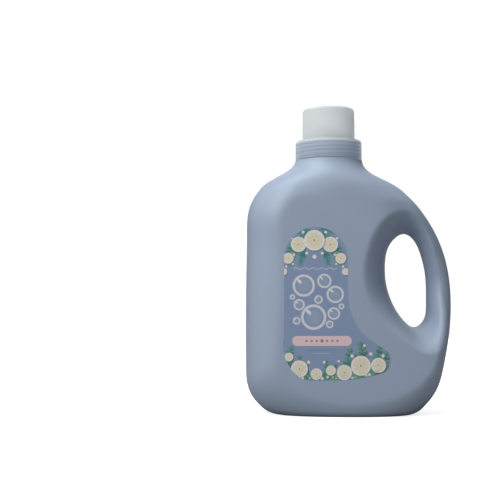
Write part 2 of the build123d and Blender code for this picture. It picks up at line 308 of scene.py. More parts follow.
def shoulderThickness(x, z):
    # level sections that turn from the body's profile into a circle at the ledge: half * profile^(1 - mix)
    # * circle^mix, where mix goes from 0 at the shoulder's start to 1 at the ledge
    left, right, half = leftAt(z), rightAt(z), halfAt(z)
    share = np.clip((x - left) / (right - left), 0, 1)
    mix = softStep(shoulderStart, body["height"], z)
    circle = np.sqrt(np.clip(1 - (2 * share - 1) ** 2, 0, 1))
    profile = np.clip(np.interp(share, startShare, startThick), 1e-9, 1)
    return half * profile ** (1 - mix) * np.maximum(circle, 1e-9) ** mix


def bodyThickness(x, z):
    # half the thickness all over: the ring's below, the shoulder's above, eased from one to the other, and
    # held to the flat side by a soft minimum: half of y + flat - sqrt((y - flat)^2 + soft^2), and a small
    # bell about the meeting
    low, high = shoulderStart - body["blendBelow"], shoulderStart + body["blendAbove"]
    ring = ringThickness(x, np.minimum(z, high))
    top = shoulderThickness(x, np.maximum(z, shoulderStart - 2 * lap))
    y = ring + (top - ring) * softStep(low, high, z)
    flat, soft = body["depth"] / 2, body["flatSoft"]
    return 0.5 * (y + flat - np.sqrt((y - flat) ** 2 + soft**2)) + soft / 2 * np.exp(-((y - flat) ** 2))


def edgeTurn(x, z):
    # the angle from the ray centre, leaned on beside the neck, where plain rays would graze the outline:
    # lean = neckLean * (share of the way up from leanStart to the ledge)^2 * share across the ledge
    across = np.clip((x + body["ledgeRadius"]) / (2 * body["ledgeRadius"]), 0, 1)
    rise = np.clip((z / body["height"] - body["leanStart"]) / (1 - body["leanStart"]), 0, 1)
    lean = np.radians(body["neckLean"]) * rise**2 * across
    return np.arctan2(z - rayCentre[1], x - rayCentre[0]) % fullTurn + lean


def bodyEdge():
    # the outer edge in order of its turn: the outline's sides, the shoulder's edges, the ledge and the foot
    isSide = (outline[:, 1] < shoulderStart) & (outline[:, 1] > 0)
    lowLeft = outline[isSide & (outline[:, 0] < rayCentre[0])]
    lowRight = outline[isSide & (outline[:, 0] >= rayCentre[0])]
    height = np.linspace(shoulderStart, body["height"], 160)
    shoulderLeft = np.stack([leftAt(height), height], 1)
    shoulderRight = np.stack([rightAt(height), height], 1)
    ledgeX = np.cos(np.linspace(0, np.pi, body["ledgeLines"] + 1)) * body["ledgeRadius"]
    ledge = np.stack([ledgeX, np.full(len(ledgeX), body["height"])], 1)
    footEnds = [side[np.argmin(side[:, 1]), 0] for side in (lowLeft, lowRight)]
    foot = np.stack([np.linspace(footEnds[0], footEnds[1], 300), np.zeros(300)], 1)
    edge = np.vstack([lowLeft, lowRight, shoulderLeft, shoulderRight, ledge, foot])
    turn = edgeTurn(edge[:, 0], edge[:, 1])
    order = np.argsort(turn)
    return edge[order], turn[order], ledge, footEnds


def bodyTurns(ledge, footEnds):
    # turns of the lines: evenly spaced, but closer and closer up to the neck, and even round the ledge
    ledgeRight = edgeTurn(body["ledgeRadius"], body["height"])
    ledgeLeft = edgeTurn(-body["ledgeRadius"], body["height"])
    footLeft, footRight = (np.arctan2(-rayCentre[1], x - rayCentre[0]) % fullTurn for x in footEnds)
    bendHeight = body["leanStart"] * body["height"]
    bend = edgeTurn(rightAt(bendHeight), bendHeight)
    crowd = 1 - (1 - np.linspace(0, 1, body["ledgeLines"], endpoint=False)) ** body["crowding"]
    turns = [bend + (ledgeRight - bend) * crowd, edgeTurn(ledge[:-1, 0], ledge[:-1, 1])]
    for start, end in ((0, bend), (ledgeLeft, footLeft), (footLeft, footRight), (footRight, fullTurn)):
        count = max(int(body["angles"] * (end - start) / fullTurn), 8)
        turns.append(np.linspace(start, end, count, endpoint=False))
    return np.sort(np.concatenate(turns))


def bodyGrid():
    # straight lines from the hand opening to the outer edge, over the front, across the base or the ledge,
    # and back; the points along a line lie at (1 - cos) / 2, so that they are closest at its ends
    edge, edgeAngle, ledge, footEnds = bodyEdge()
    angle = bodyTurns(ledge, footEnds)
    share = (1 - np.cos(np.pi * np.linspace(0, 1, body["steps"] + 1))) / 2
    near = readPolar(openingTable, angle)
    nearX, nearZ = rayCentre[0] + near * np.cos(angle), rayCentre[1] + near * np.sin(angle)
    farX, farZ = (np.interp(angle, edgeAngle, edge[:, k], period=fullTurn) for k in (0, 1))
    x = nearX[:, None] + (farX - nearX)[:, None] * share[None]
    z = nearZ[:, None] + (farZ - nearZ)[:, None] * share[None]
    z = np.where(np.abs(z) < 1e-6, 0, z)
    y = bodyThickness(x, np.clip(z, 0, body["height"]))
    # front and back meet at the opening and the outline, and stay apart on the ledge and the foot
    onLedge = np.abs(z[:, -1] - body["height"]) < 1e-3
    onFoot = z[:, -1] < 1e-3
    y[:, 0] = 0
    y[:, -1] = np.where(onLedge | onFoot, y[:, -1], 0)
    y[onLedge, -1] = np.sqrt(np.clip(body["ledgeRadius"] ** 2 - x[onLedge, -1] ** 2, 0, None))
    # the rounded foot: what lies within one radius of the table draws in towards the middle by
    # radius - sqrt(radius^2 - (radius - z)^2)
    radius = body["baseRound"]
    drawn = radius - np.sqrt(np.clip(radius**2 - np.clip(radius - z, 0, radius) ** 2, 0, None))
    middle, halfWidth = (footEnds[0] + footEnds[1]) / 2, (footEnds[1] - footEnds[0]) / 2
    x = middle + (x - middle) * (1 - drawn / halfWidth)
    y = y * (1 - drawn / y[onFoot, -1].max())
    # straight across the base, with its raised middle, and across the ledge, down into the neck's well
    bridgeX = np.repeat(x[:, -1:], body["across"], 1)
    bridgeY = y[:, -1:] * np.linspace(-1, 1, body["across"] + 2)[None, 1:-1]
    bridgeZ = np.repeat(z[:, -1:], body["across"], 1)
    fromEnds = halfWidth - radius - np.abs(bridgeX - middle)
    inside = np.clip(np.minimum(fromEnds, y[:, -1:] - np.abs(bridgeY)), 0, None)
    raised = body["pushUp"] * softStep(body["pushUpFrom"], body["pushUpTo"], inside)
    bridgeZ = np.where(onFoot[:, None], bridgeZ + raised, bridgeZ)
    wellOuter, wellInner = body["wellRadius"] + body["wellSoft"], body["wellRadius"] - body["wellSoft"]
    well = body["wellDepth"] * softStep(wellOuter, wellInner, np.hypot(bridgeX, bridgeY))
    bridgeZ = np.where(onLedge[:, None], bridgeZ - well, bridgeZ)
    front = np.stack([x, -y, z], -1)
    bridge = np.stack([bridgeX, bridgeY, bridgeZ], -1)
    back = np.stack([x, y, z], -1)[:, ::-1]
    return np.concatenate([front, bridge, back[:, :-1]], 1)


# Materials. A look has a colour in steps of 255, the values of the plastic group and the shader's own ones.


def linearShare(share):
    # sRGB to linear light: share / 12.92 up to 0.04045, above it ((share + 0.055) / 1.055)^2.4
    return np.where(share <= 0.04045, share / 12.92, ((share + 0.055) / 1.055) ** 2.4)


def toLinear(rgb):
    # a colour in steps of 255 as the four linear values of a colour socket
    return tuple(linearShare(np.array(rgb, float) / 255)) + (1.0,)


def makeMaterial(name, values):
    # a material with a Principled shader and the given plain socket values
    material = bpy.data.materials.new(name)
    material.use_nodes = True
    tree = material.node_tree
    shader = tree.nodes["Principled BSDF"]
    for socket, value in values.items():
        shader.inputs[socket].default_value = value
    return material, tree, shader


def mathNode(tree, operation, *values):
    # a math node with plain numbers in its first sockets; None leaves a socket for a link
    node = tree.nodes.new("ShaderNodeMath")
    node.operation = operation
    for socket, value in zip(node.inputs, values):
        if value is not None:
            socket.default_value = value
    return node


def scaleNode(tree):
    # a vector times a number, here a colour times its shade
    node = tree.nodes.new("ShaderNodeVectorMath")
    node.operation = "SCALE"
    return node


def plasticGroup():
    # unevenness of moulded plastic from a broad and a fine noise: colour * (1 + drift * (broad - 0.5)),
    # roughness + spread * (fine - 0.5), and the fine noise as a height for bump
    group = bpy.data.node_groups.new("mouldedPlastic", "ShaderNodeTree")
    for socketName, kind, value in (
        ("Colour", "NodeSocketColor", None),
        ("Drift", "NodeSocketFloat", 0.04),
        ("Grain scale", "NodeSocketFloat", 900.0),
        ("Roughness", "NodeSocketFloat", 0.4),
        ("Roughness spread", "NodeSocketFloat", 0.08),
    ):
        socket = group.interface.new_socket(name=socketName, in_out="INPUT", socket_type=kind)
        if value is not None:
            socket.default_value = value
    for socketName, kind in (
        ("Colour", "NodeSocketColor"),
        ("Roughness", "NodeSocketFloat"),
        ("Height", "NodeSocketFloat"),
    ):
        group.interface.new_socket(name=socketName, in_out="OUTPUT", socket_type=kind)
    nodes, links = group.nodes, group.links
    start, end = nodes.new("NodeGroupInput"), nodes.new("NodeGroupOutput")
    place = nodes.new("ShaderNodeTexCoord")
    broad = nodes.new("ShaderNodeTexNoise")
    broad.inputs["Scale"].default_value = 14.0
    broad.inputs["Detail"].default_value = 2.0
    fine = nodes.new("ShaderNodeTexNoise")
    fine.inputs["Detail"].default_value = 3.0
    links.new(place.outputs["Object"], broad.inputs["Vector"])
    links.new(place.outputs["Object"], fine.inputs["Vector"])
    links.new(start.outputs["Grain scale"], fine.inputs["Scale"])
    broadCentred = mathNode(group, "SUBTRACT", None, 0.5)
    drift = mathNode(group, "MULTIPLY")
    level = mathNode(group, "ADD", None, 1.0)
    tint = scaleNode(group)
    links.new(broad.outputs["Fac"], broadCentred.inputs[0])
    links.new(broadCentred.outputs[0], drift.inputs[0])
    links.new(start.outputs["Drift"], drift.inputs[1])
    links.new(drift.outputs[0], level.inputs[0])
    links.new(start.outputs["Colour"], tint.inputs[0])
    links.new(level.outputs[0], tint.inputs["Scale"])
    links.new(tint.outputs["Vector"], end.inputs["Colour"])
    fineCentred = mathNode(group, "SUBTRACT", None, 0.5)
    spread = mathNode(group, "MULTIPLY_ADD")
    links.new(fine.outputs["Fac"], fineCentred.inputs[0])
    links.new(fineCentred.outputs[0], spread.inputs[0])
    links.new(start.outputs["Roughness spread"], spread.inputs[1])
    links.new(start.outputs["Roughness"], spread.inputs[2])
    links.new(spread.outputs[0], end.inputs["Roughness"])
    links.new(fine.outputs["Fac"], end.inputs["Height"])
    return group


plastic = plasticGroup()


def plasticNode(tree, shader, look):
    # places the plastic group with a look's own values, feeding colour and roughness
    group = tree.nodes.new("ShaderNodeGroup")
    group.node_tree = plastic
    group.inputs["Drift"].default_value = look["drift"]
    group.inputs["Grain scale"].default_value = look["grain"]
    group.inputs["Roughness"].default_value = look["roughness"]
    group.inputs["Roughness spread"].default_value = look["spread"]
    tree.links.new(group.outputs["Colour"], shader.inputs["Base Color"])
    tree.links.new(group.outputs["Roughness"], shader.inputs["Roughness"])
    return group


def plasticMaterial(name, look):
    # the plastic group with its fine bump, and painted shade that darkens the colour where the look has it
    material, tree, shader = makeMaterial(name, look["shader"])
    group = plasticNode(tree, shader, look)
    group.inputs["Colour"].default_value = toLinear(look["colour"])
    bump = tree.nodes.new("ShaderNodeBump")
    bump.inputs["Strength"].default_value = look["bump"]
    bump.inputs["Distance"].default_value = 0.0001
    tree.links.new(group.outputs["Height"], bump.inputs["Height"])
    tree.links.new(bump.outputs["Normal"], shader.inputs["Normal"])
    if "paintedShade" in look:
        # colour * (1 - depth * shade attribute), where the attribute of the mesh holds painted shade
        paintedShade = tree.nodes.new("ShaderNodeAttribute")
        paintedShade.attribute_name = look["paintedShade"]
        shade = mathNode(tree, "MULTIPLY_ADD", None, -look["paintedShadeDepth"], 1.0)
        tint = scaleNode(tree)
        tree.links.new(paintedShade.outputs["Fac"], shade.inputs[0])
        tree.links.new(group.outputs["Colour"], tint.inputs[0])
        tree.links.new(shade.outputs[0], tint.inputs["Scale"])
        tree.links.new(tint.outputs["Vector"], shader.inputs["Base Color"])
    return material


bottleLook = {
    "colour": (158, 172, 192),
    "drift": 0.05,
    "grain": 1400.0,
    "roughness": 0.42,
    "spread": 0.1,
    "bump": 0.1,
    "shader": {"IOR": 1.5, "Specular IOR Level": 0.4},
}
bottlePlastic = plasticMaterial("satinBluePlastic", bottleLook)
bodyMesh = surfaceMesh("blownBody", bodyGrid(), wrapRows=True, wrapColumns=True)
weld(bodyMesh, 2e-6)
addPiece("blownBody", bodyMesh, bottlePlastic, "bottle", "bottle")
print("blown body made:", len(bodyMesh.polygons), "faces")

# The neck with its screw thread.
neck = {
    "radius": 28.6,
    "bore": 26.2,
    "bottom": 243.32,
    "top": 259.1,
    "edge": 0.5,
    "pitch": 3.6,
    "threadStart": 247.3,
    "turns": 2.25,
    "threadHeight": 1.2,
    "threadWidth": 2.0,
    "threadFoot": 0.15,  # the ridge's flanks run from this far outside half its width to the crest inside it
    "threadCrest": 0.65,
    "threadFade": 0.08,  # part of a turn over which the ridge fades at its ends
    "columns": 192,
}


def threadRise(angle, z, shift=0.0):
    # how far a helical ridge stands up, from 0 to 1: a rounded trapezoid across the thread, by the height
    # above or below the nearest turn of the helix, fading at both ends
    turn = angle / fullTurn
    pitches = (z - neck["threadStart"] - shift) / neck["pitch"]
    along = turn + np.round(pitches - turn)
    offset = np.abs(pitches - along) * neck["pitch"]
    halfWidth = neck["threadWidth"] / 2
    shape = softStep(halfWidth + neck["threadFoot"], halfWidth - neck["threadCrest"], offset)
    fade, last = neck["threadFade"], neck["turns"]
    return shape * softStep(0, fade, along) * softStep(last, last - fade, along)


def roundedPath(corners, step=0.35, arcPieces=6):
    # a closed path through corners of (radius, height, rounding): straight runs joined by arcs that touch
    # them at rounding / tan(half the corner's angle), with extra points along runs longer than step
    corners = np.array(corners, float)
    places, roundings = corners[:, :2], corners[:, 2]
    path = []
    for i, (place, rounding) in enumerate(zip(places, roundings)):
        if rounding <= 0:
            path.append(place[None])
            continue
        back = places[i - 1] - place
        back = back / np.linalg.norm(back)
        onward = places[(i + 1) % len(places)] - place
        onward = onward / np.linalg.norm(onward)
        half = np.arccos(np.clip(back @ onward, -1, 1)) / 2
        reach = rounding / np.tan(half)
        centre = place + (back + onward) / np.linalg.norm(back + onward) * rounding / np.sin(half)
        t = np.linspace(0, 1, arcPieces + 1)[:, None]
        spoke = (place + back * reach - centre) * (1 - t) + (place + onward * reach - centre) * t
        path.append(centre + spoke / np.linalg.norm(spoke, axis=1)[:, None] * rounding)
    points = np.vstack(path)
    filled = []
    for here, there in zip(points, np.roll(points, -1, 0)):
        count = max(int(np.linalg.norm(there - here) / step), 1)
        filled.append(here + (there - here) * np.linspace(0, 1, count, endpoint=False)[:, None])
    return np.vstack(filled)


def revolved(profile, columns, radiusChange):
    # a closed profile of (radius, height) carried once round the neck's axis, with a change of radius
    angle = np.repeat(np.linspace(0, fullTurn, columns, endpoint=False)[None], len(profile), 0)
    radius = np.repeat(profile[:, :1], columns, 1)
    z = np.repeat(profile[:, 1:2], columns, 1)
    radius = radius + radiusChange(angle, z, radius)
    return np.stack([radius * np.cos(angle), radius * np.sin(angle), z], -1)


def neckThread(angle, z, radius):
    # the ridge stands out of the neck's outer side
    isOuter = radius > neck["radius"] - 0.2
    return np.where(isOuter, threadRise(angle, z), 0) * neck["threadHeight"]


neckCorners = [
    (neck["bore"], neck["bottom"], 0),
    (neck["radius"], neck["bottom"], 0),
    (neck["radius"], neck["top"], neck["edge"]),
    (neck["bore"], neck["top"], 0),
]
neckGrid = revolved(roundedPath(neckCorners), neck["columns"], neckThread)
neckMesh = surfaceMesh("threadedNeck", neckGrid, wrapRows=True, wrapColumns=True)
addPiece("threadedNeck", neckMesh, bottlePlastic, "bottle", "bottle_neck")
print("neck made")

# The dosing cap: a milky cup over a frosted skirt.
cap = {
    "skirtOuter": 32.2,
    "skirtInner": 30.5,
    "skirtBottom": 244.0,
    "shoulderBottom": 261.3,
    "shoulderTop": 262.7,
    "shoulderRound": 2.6,
    "cupRadius": 25.5,
    "cupTop": 294.5,
    "cupDraft": 0.5,
    "cupEdge": 3.5,
    "cupWall": 1.3,
    "lipRadius": 24.4,
    "lipBottom": 248.3,
    "axis": 0.01,  # the profile ends this close to the axis, and the points there are welded
    "step": 0.42,
    "columns": 192,
    "frostedTop": 2.4,  # the frosted skirt starts this far below the shoulder's top
    "footShade": 0.8,
}
cupLook = {
    "colour": (226, 229, 230),
    "drift": 0.02,
    "grain": 1800.0,
    "roughness": 0.62,
    "spread": 0.06,
    "bump": 0.04,
    "shader": {"IOR": 1.12, "Specular IOR Level": 0.9, "Transmission Weight": 0.6},
}
skirtLook = {
    "colour": (214, 223, 233),
    "drift": 0.02,
    "grain": 1800.0,
    "roughness": 0.2,
    "spread": 0.05,
    "bump": 0.03,
    "shader": {"IOR": 1.08, "Specular IOR Level": 1.0, "Transmission Weight": 0.62},
    # an attribute of painted shade: the thread seen through the skirt, and the shade at the skirt's foot
    "paintedShade": "paintedThreadShade",
    "paintedShadeDepth": 0.24,
}
cupTopRadius = cap["cupRadius"] - cap["cupDraft"]
cupInnerTop = cap["cupTop"] - cap["cupWall"]
lipInner = cap["lipRadius"] - cap["cupWall"]
capCorners = [
    (cap["axis"], cap["cupTop"], 0),
    (cupTopRadius, cap["cupTop"], cap["cupEdge"]),
    (cap["cupRadius"], cap["shoulderTop"], 0.6),
    (cap["skirtOuter"], cap["shoulderTop"], cap["shoulderRound"]),
    (cap["skirtOuter"], cap["skirtBottom"], 0.4),
    (cap["skirtInner"], cap["skirtBottom"], 0.3),
    (cap["skirtInner"], cap["shoulderBottom"], 0.4),
    (cap["lipRadius"], cap["shoulderBottom"], 0.3),
    (cap["lipRadius"], cap["lipBottom"], 0.4),
    (lipInner, cap["lipBottom"], 0.4),
    (lipInner, cap["shoulderTop"], 2.0),
    (cupTopRadius - cap["cupWall"], cupInnerTop, cap["cupEdge"] - cap["cupWall"]),
    (cap["axis"], cupInnerTop, 0),
]


def capThread(angle, z, radius):
    # the cap's ridge stands into the skirt, half a pitch below the neck's
    isInner = (np.abs(radius - cap["skirtInner"]) < 0.1) & (z < cap["shoulderBottom"] - 0.5)
    return np.where(isInner, -threadRise(angle, z, -neck["pitch"] / 2), 0) * neck["threadHeight"]


def skirtPaintedShade(points):
    # painted shade on the frosted skirt: (0.5 + 0.5 cos(height in pitches less the turn))^2 darkens the gaps
    # between the thread's turns, a painted shading of the thread seen through the skirt, faded at the skirt's
    # ends, and a soft band of painted shade darkens its foot, where the gap under it casts shade
    z, bottom, top = points[:, 2], cap["skirtBottom"], cap["shoulderBottom"]
    turn = z / neck["pitch"] - np.arctan2(points[:, 1], points[:, 0]) / fullTurn
    ripple = 0.5 + 0.5 * np.cos(fullTurn * turn)
    band = softStep(bottom + 1.5, bottom + 4.5, z) * softStep(top, top - 4.0, z)
    foot = softStep(bottom + 4.0, bottom + 1.5, z) * softStep(bottom + 0.4, bottom + 1.2, z)
    return np.clip(band * ripple**2 + cap["footShade"] * foot, 0, 1)


capGrid = revolved(roundedPath(capCorners, cap["step"]), cap["columns"], capThread)
capMesh = surfaceMesh("dosingCap", capGrid, wrapRows=True, wrapColumns=True, flip=True)
weld(capMesh, 2e-5)
addPiece("dosingCap", capMesh, plasticMaterial("milkyPlastic", cupLook), "cap", "cap")
capMesh.materials.append(plasticMaterial("frostedPlastic", skirtLook))
centres = readPlaces(capMesh.polygons, "center")
isOutside = np.hypot(centres[:, 0], centres[:, 1]) > cap["skirtInner"] - 1.5
isSkirt = isOutside & (centres[:, 2] < cap["shoulderTop"] - cap["frostedTop"])
capMesh.polygons.foreach_set("material_index", isSkirt.astype(np.int32))
# the skirt's painted shade, held by its points
paintedShade = capMesh.attributes.new(skirtLook["paintedShade"], "FLOAT", "POINT")
paintedShade.data.foreach_set("value", skirtPaintedShade(readPlaces(capMesh.vertices, "co")).astype(np.float32))
print("cap made:", len(capMesh.polygons), "faces")

# The pour spout and the gasket keep their solids.
spoutLook = {
    "colour": (232, 235, 238),
    "drift": 0.02,
    "grain": 1800.0,
    "roughness": 0.35,
    "spread": 0.06,
    "bump": 0.05,
    "shader": {"IOR": 1.45, "Subsurface Weight": 0.2, "Subsurface Scale": 0.002},
}
gasketLook = {
    "colour": (238, 238, 232),
    "drift": 0.04,
    "grain": 2600.0,
    "roughness": 0.8,
    "spread": 0.1,
    "bump": 0.4,
    "shader": {"IOR": 1.4},
}
for nodeName, materialName, look in (
    ("pour_spout", "whitePlastic", spoutLook),
    ("cap_gasket", "paleFoam", gasketLook),
):
    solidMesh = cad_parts[nodeName].data
    solidMesh.materials.clear()
    solidMesh.materials.append(plasticMaterial(materialName, look))
print("spout and gasket finished")

# The labels. Places are shares of the body's width and height.
label = {
    "left": -0.229,
    "right": 0.0698,
    "arch": 0.6054,  # height at which the arch springs, and its top
    "top": 0.7232,
    "heel": 0.3053,
    "thick": 0.12,
    "columns": 230,
    "rows": 400,
    "endCrowding": 0.35,  # how far the rows crowd towards the top and the foot
    "artX": -4.7,  # origin and size of the artwork's own millimetres
    "artZ": 3.6,
    "artScale": 0.953,
}
filmLook = {
    "drift": 0.02,
    "grain": 2200.0,
    "roughness": 0.38,
    "spread": 0.06,
    "shader": {"IOR": 1.5, "Specular IOR Level": 0.4},
}
labelSide = [(0.0698, 0.4647), (0.0791, 0.4079), (0.0931, 0.3775), (0.1212, 0.3357), (0.2285, 0.2654)]
labelToe = [(0.2285, 0.2654), (0.2659, 0.2236), (0.2332, 0.1704)]
labelBase = [(0.2332, 0.1704), (0.0557, 0.1419), (-0.1404, 0.1457)]
labelCorner = [(-0.1404, 0.1457), (-0.2058, 0.1951), (-0.229, 0.3053)]


def arcThrough(a, b, c, count=60):
    # points along the circle's arc from a through b to c; its centre is as far from each of the three
    (ax, ay), (bx, by), (cx, cy) = a, b, c
    d = 2 * (ax * (by - cy) + bx * (cy - ay) + cx * (ay - by))
    aa, bb, cc = ax**2 + ay**2, bx**2 + by**2, cx**2 + cy**2
    centreX = (aa * (by - cy) + bb * (cy - ay) + cc * (ay - by)) / d
    centreY = (aa * (cx - bx) + bb * (ax - cx) + cc * (bx - ax)) / d
    start, through, end = (np.arctan2(y - centreY, x - centreX) for x, y in (a, b, c))
    if (through - start) % fullTurn < (end - start) % fullTurn:
        span = (end - start) % fullTurn
    else:
        span = -((start - end) % fullTurn)
    angle = start + span * np.linspace(0, 1, count)
    radius = np.hypot(ax - centreX, ay - centreY)
    return np.stack([centreX + radius * np.cos(angle), centreY + radius * np.sin(angle)], 1)


def openCurve(points, perSpan=24):
    # natural cubic pieces through points, paced by chord length
    places = np.array(points, float)
    chords = np.linalg.norm(np.diff(places, axis=0), axis=1)
    key = np.concatenate([[0], np.cumsum(chords)])
    at = np.linspace(0, key[-1], perSpan * (len(places) - 1))
    return np.stack([smoothTable(key, places[:, k])(at) for k in (0, 1)], 1)


def labelEdges():
    # left and right edge of the label against height: arch, straight side, sweep to the toe and flat foot
    size = np.array([body["width"], body["height"]])
    left, right = label["left"] * size[0], label["right"] * size[0]
    spring, top = label["arch"] * size[1], label["top"] * size[1]
    arch = arcThrough((left, spring), ((left + right) / 2, top), (right, spring), 161)
    side = openCurve(np.array(labelSide) * size)
    toe, base, corner = (arcThrough(*(np.array(part) * size)) for part in (labelToe, labelBase, labelCorner))
    heel = [(left, label["heel"] * size[1])]
    rightSide = np.vstack([arch[80:], side, toe, base[:30]])
    leftSide = np.vstack([arch[80::-1], heel, corner[::-1], base[:29:-1]])
    return leftSide, rightSide


def labelGrid(side):
    # level rows from the left edge to the right edge, a film's thickness off the flat side
    leftSide, rightSide = labelEdges()
    low = max(leftSide[:, 1].min(), rightSide[:, 1].min()) + 0.01
    high = label["top"] * body["height"] - 0.02
    even = np.linspace(0, 1, label["rows"])
    eased = (1 - np.cos(np.pi * even)) / 2
    z = low + (high - low) * (eased * label["endCrowding"] + even * (1 - label["endCrowding"]))
    leftSide = leftSide[np.argsort(leftSide[:, 1])]
    rightSide = rightSide[np.argsort(rightSide[:, 1])]
    left = np.interp(z, leftSide[:, 1], leftSide[:, 0])
    right = np.interp(z, rightSide[:, 1], rightSide[:, 0])
    share = np.linspace(0, 1, label["columns"])
    x = left[:, None] + (right - left)[:, None] * share[None]
    y = np.full_like(x, side * (body["depth"] / 2 + label["thick"]))
    return np.stack([x, y, np.repeat(z[:, None], label["columns"], 1)], -1)


inkColours = {
    "ground": (137, 155, 184),
    "roundShade": (76, 90, 120),
    "rind": (240, 232, 222),
    "wedge": (230, 220, 208),
    "pulp": (214, 208, 164),
    "core": (150, 158, 92),
    "leafShade": (78, 92, 122),
    "leafLight": (150, 200, 176),
    "vein": (188, 218, 200),
    "stem": (44, 104, 92),
    "garland": (60, 148, 148),
    "garlandPale": (92, 162, 118),
    "grove": (66, 148, 116),
    "berryShade": (84, 98, 126),
    "berry": (232, 226, 222),
    "bubbleFill": (226, 230, 238),
    "bubbleRing": (222, 220, 224),
    "glint": (240, 238, 240),
    "wave": (206, 212, 224),
    "band": (228, 200, 204),
    "dot": (160, 122, 138),
    "rule": (92, 104, 134),
    "panel": (222, 224, 230),
    "panelRule": (128, 140, 164),
}


class LabelPrint:
    # a sheet of colours over the label's points, painted shape by shape; angles are radians
    def __init__(self, x, z):
        self.x = (x - label["artX"]) / label["artScale"]
        self.z = (z - label["artZ"]) / label["artScale"]
        self.colour = np.ones(x.shape + (3,)) * np.array(inkColours["ground"]) / 255

    def lay(self, mask, colour):
        # old colour * (1 - mask) + new colour * mask
        mask = np.clip(mask, 0, 1)[..., None]
        self.colour = self.colour * (1 - mask) + np.asarray(colour) / 255 * mask

    def local(self, x, z, turn):
        # the points' places along and across a direction, from a given place
        dx, dz = self.x - x, self.z - z
        c, s = np.cos(turn), np.sin(turn)
        return dx * c + dz * s, -dx * s + dz * c

    def citrus(self, x, z, size, turn, parts=9):
        # a round of citrus: a soft shade, a pale rind, then wedges with rounded outer corners about a core;
        # share is how near a point is to the edge of its wedge, and gap its distance from that edge
        shadeFar = np.hypot(self.x - x - 0.7, self.z - z + 0.8)
        self.lay(softStep(size + 0.6, size - 0.6, shadeFar) * 0.55, inkColours["roundShade"])
        along, across = self.local(x, z, turn)
        far, angle = np.hypot(along, across), np.arctan2(across, along)
        self.lay(softStep(size + 0.175, size - 0.175, far), inkColours["rind"])
        share = np.abs(((angle / fullTurn * parts) % 1) - 0.5) * 2
        gap = (1 - share) * far * np.pi / parts
        rim = size * (0.84 - 0.12 * np.clip(share - 0.55, 0, 1) ** 2 / 0.2)
        wedge = softStep(0.10, 0.30, gap) * softStep(rim + 0.2, rim - 0.2, far)
        wedge = wedge * softStep(0.14, 0.2, far / size)
        self.lay(wedge * 0.85, inkColours["wedge"])
        self.lay(wedge * np.clip(1 - far / size, 0, 1) * 0.9, inkColours["pulp"])
        self.lay(softStep(0.13, 0.08, far / size), inkColours["core"])

    def leafShape(self, x, z, size, turn):
        # half the width is 0.46 size * (1 - share^2)^0.8 * (1 - 0.3 share) along the leaf, less a saw edge
        along, across = self.local(x, z, turn)
        share = along / size
        saw = 0.05 * size * np.abs((share * 5) % 1 - 0.5)
        half = 0.46 * size * np.clip(1 - share**2, 0, 1) ** 0.8 * (1 - 0.3 * share) - saw
        return np.abs(along) < size, across, half

    def leaf(self, x, z, size, turn, tint):
        # a pointed oval with a soft shade, a lighter side and a pale middle vein
        within, across, half = self.leafShape(x + 0.4, z - 0.5, size, turn)
        self.lay(softStep(half + 0.15, half - 0.2, np.abs(across)) * within * 0.45, inkColours["leafShade"])
        within, across, half = self.leafShape(x, z, size, turn)
        self.lay(softStep(half + 0.15, half - 0.2, np.abs(across)) * within, tint)
        inside = softStep(half, half - 0.3, np.abs(across)) * within
        self.lay(inside * softStep(0, size, across + 0.3 * size) * 0.35, inkColours["leafLight"])
        self.lay(np.exp(-((across / 0.22) ** 2)) * inside * 0.5, inkColours["vein"])

    def frond(self, x, z, length, turn, bend, tint, pairs):
        # leaves in pairs along a stem that bends by the given angle, each pair smaller than the last
        step = length / pairs
        stem = [(x, z)]
        for k in range(pairs):
            way = turn + bend * k / pairs
            x, z = x + step * np.cos(way), z + step * np.sin(way)
            stem.append((x, z))
            size = 0.62 * step * (1.5 - 0.9 * k / pairs)
            tone = np.array(tint) * (0.88 + 0.14 * np.sin(2.3 * k + length))
            for side in (-1, 1):
                out = way + side * 0.85
                self.leaf(x + size * 0.95 * np.cos(out), z + size * 0.95 * np.sin(out), size, out, tone)
        self.leaf(x + 0.5 * step * np.cos(way), z + 0.5 * step * np.sin(way), 0.6 * step, way, tint)
        self.stroke(stem, 0.5, inkColours["stem"], 0.9)

    def berry(self, x, z, size, tint=inkColours["berry"]):
        # a small disc on a soft shade
        far = np.hypot(self.x - x, self.z - z)
        self.lay(softStep(size + 0.6, size, far) * 0.4, inkColours["berryShade"])
        self.lay(softStep(size + 0.15, size - 0.2, far), tint)

    def bubble(self, x, z, size):
        # a ring with a soft fill and a small glint
        far = np.hypot(self.x - x, self.z - z)
        half = 0.07 * size + 0.4
        self.lay(softStep(size, size * 0.4, far) * 0.16, inkColours["bubbleFill"])
        self.lay(softStep(half + 0.35, half - 0.1, np.abs(far - size)) * 0.95, inkColours["bubbleRing"])
        along, across = self.local(x - 0.45 * size, z + 0.45 * size, 0.8)
        glintFar = np.hypot(along / size, across / size * 0.5)
        self.lay(softStep(0.2, 0.08, glintFar) * 0.9, inkColours["glint"])

    def stroke(self, points, width, colour, strength):
        # a line through points, by the distance to its nearest run
        nearest = np.full(self.x.shape, 1e9)
        places = np.array(points, float)
        for here, there in zip(places[:-1], places[1:]):
            run = there - here
            t = ((self.x - here[0]) * run[0] + (self.z - here[1]) * run[1]) / (run @ run)
            t = np.clip(t, 0, 1)
            far = np.hypot(self.x - here[0] - t * run[0], self.z - here[1] - t * run[1])
            nearest = np.minimum(nearest, far)
        self.lay(softStep(width / 2 + 0.2, width / 2 - 0.2, nearest) * strength, colour)


